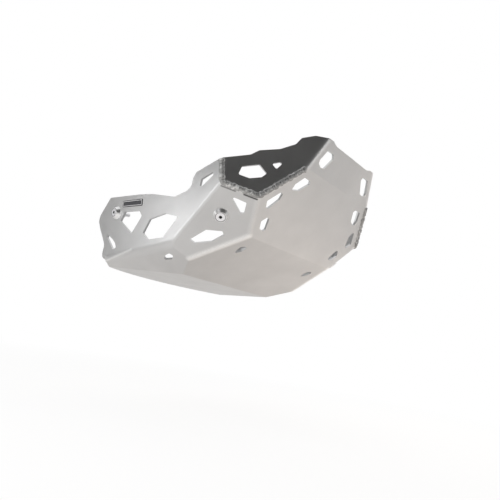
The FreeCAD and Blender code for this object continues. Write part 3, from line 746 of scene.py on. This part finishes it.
def floor_finish():
    """Pale matt floor, plain white far off. To the camera it is lifted towards white, more so further out."""
    material, tree, shader, place = new_finish("pale_floor", NOT_METAL)
    shader.inputs["Base Color"].default_value = FLOOR_TONE
    shader.inputs["Roughness"].default_value = FLOOR_ROUGHNESS
    shader.inputs["Specular IOR Level"].default_value = FLOOR_SPECULAR
    distance = measures(tree, "LENGTH", vectors(tree, "MULTIPLY", place, (1, 1, 0)))
    path = tree.nodes.new("ShaderNodeLightPath").outputs
    lifted = sums(tree, "MULTIPLY", path["Is Camera Ray"], ranged(tree, distance, **LIFT_LIMITS))
    share = sums(tree, "MAXIMUM", ranged(tree, distance, **FAR_LIMITS), lifted)
    white = placed(tree, "ShaderNodeEmission", Color=WHITE, Strength=1.0)
    blend = placed(tree, "ShaderNodeMixShader", share, shader.outputs[0], white.outputs[0])
    feed(tree, tree.nodes["Material Output"].inputs["Surface"], blend.outputs[0])
    return material


floor = flat_card("floor", (0, 0, FLOOR_HEIGHT), (0, 0, 1), FLOOR_WIDTH, FLOOR_WIDTH)
dress(floor, floor_finish())
print("floor at", FLOOR_HEIGHT, "m")

# %% The four cards
CARD_ROUGHNESS = 0.95
# Each card: its name, the spot it faces, the way to it from there, its distance, width, height and tone.
CARDS = (
    ("dark_card", (0.17, -0.14, 0.19), (0.81, -0.47, 0.40), 1.1, 2.2, 1.7, 0.05),
    ("grey_card", (-0.10, -0.19, 0.07), (-0.96, -0.27, 0.06), 1.0, 0.7, 0.9, 0.36),
    ("high_card", (0.09, -0.20, 0.15), (-0.74, -0.58, 0.42), 1.2, 1.6, 0.8, 0.10),
    ("pale_card", (0.21, 0.0, 0.2), (0.57, 0.81, 0.10), 1.1, 1.0, 0.8, 0.80),
)


def card_finish(name, tone):
    """A matt card of one grey."""
    material, _, shader, _ = new_finish(name, NOT_METAL)
    shader.inputs["Base Color"].default_value = (tone, tone, tone, 1)
    shader.inputs["Roughness"].default_value = CARD_ROUGHNESS
    return material


for name, spot, way, distance, width, height, tone in CARDS:
    way = unit(np.array(way))
    centre = np.array(spot) + way * distance
    card = flat_card(name, centre, -way, width, height)
    dress(card, card_finish(name, tone))
    card.visible_camera = False
    card.visible_shadow = False
    print(name, "at", centre.round(2).tolist())

# %% Lamps and room light
PLAIN_LIGHT = (1, 1, 1)
WARM_LIGHT = (1.0, 0.88, 0.78)
ROOM_LIGHT = 0.5
# Each lamp: its name, place, the spot it faces, size, watts, colour, and whether the metals mirror it.
LAMPS = (
    ("overhead", (0.2, -0.3, 1.5), (0, 0, 0), 1.4, 6, PLAIN_LIGHT, False),
    ("side_box", (-0.75, -1.05, 0.05), (0.02, -0.19, 0.06), 0.4, 1.1, PLAIN_LIGHT, True),
    ("near_fill", (0.0, -1.0, 0.7), (-0.05, -0.25, FLOOR_HEIGHT), 0.6, 8.5, PLAIN_LIGHT, False),
    ("warm_fill", (0.22, 0.8, 0.55), (0.13, 0.6, FLOOR_HEIGHT), 0.9, 5.6, WARM_LIGHT, False),
)


def softbox(name, place, spot, size, energy, colour, mirrored):
    """A square area lamp at that place, facing the spot. The metals show it only if it is mirrored."""
    lamp = bpy.data.lights.new(name, "AREA")
    lamp.size = size
    lamp.energy = energy
    lamp.color = colour
    holder = bpy.data.objects.new(name, lamp)
    holder.location = place
    holder.rotation_euler = (Vector(spot) - Vector(place)).to_track_quat("-Z", "Y").to_euler()
    holder.visible_glossy = mirrored
    bpy.context.scene.collection.objects.link(holder)


def white_room():
    """Seen directly or mirrored the room is white; as light on matt things it is half as strong."""
    world = bpy.data.worlds.new("white_room")
    bpy.context.scene.world = world
    world.use_nodes = True
    tree = world.node_tree
    path = tree.nodes.new("ShaderNodeLightPath").outputs
    seen = sums(tree, "MAXIMUM", path["Is Camera Ray"],
                sums(tree, "MAXIMUM", path["Is Glossy Ray"], path["Is Transmission Ray"]))
    strength = sums(tree, "ADD", ROOM_LIGHT, sums(tree, "MULTIPLY", seen, 1 - ROOM_LIGHT))
    background = tree.nodes["Background"]
    background.inputs["Color"].default_value = WHITE
    feed(tree, background.inputs["Strength"], strength)


for lamp_values in LAMPS:
    softbox(*lamp_values)
white_room()
bpy.context.scene.view_settings.view_transform = "Standard"
print("lamps:", [item.name for item in bpy.data.lights])

# %% [markdown]
# ## Camera
# The guard is seen from its front right and from a little below, close up. The camera's place and its three
# axes were fitted to the photograph, and are written as they came out.

# %% The camera
CAMERA_PLACE = (0.6503, -0.7324, -0.0946)
CAMERA_RIGHT = Vector((0.769621, 0.618486, 0.158612))
CAMERA_DOWN = Vector((0.011114, 0.235399, -0.971835))
CAMERA_FORWARD = Vector((-0.638404, 0.749708, 0.174294))
LENS_LENGTH = 36
SENSOR_WIDTH = 36
NEAR_CLIP = 0.01

lens = bpy.data.cameras.new("camera")
lens.lens = LENS_LENGTH
lens.sensor_width = SENSOR_WIDTH
lens.clip_start = NEAR_CLIP
camera = bpy.data.objects.new("camera", lens)
turn = Matrix((CAMERA_RIGHT, -CAMERA_DOWN, -CAMERA_FORWARD)).transposed().to_4x4()
camera.matrix_world = Matrix.Translation(CAMERA_PLACE) @ turn
bpy.context.scene.collection.objects.link(camera)
bpy.context.scene.camera = camera
print("camera at", CAMERA_PLACE)
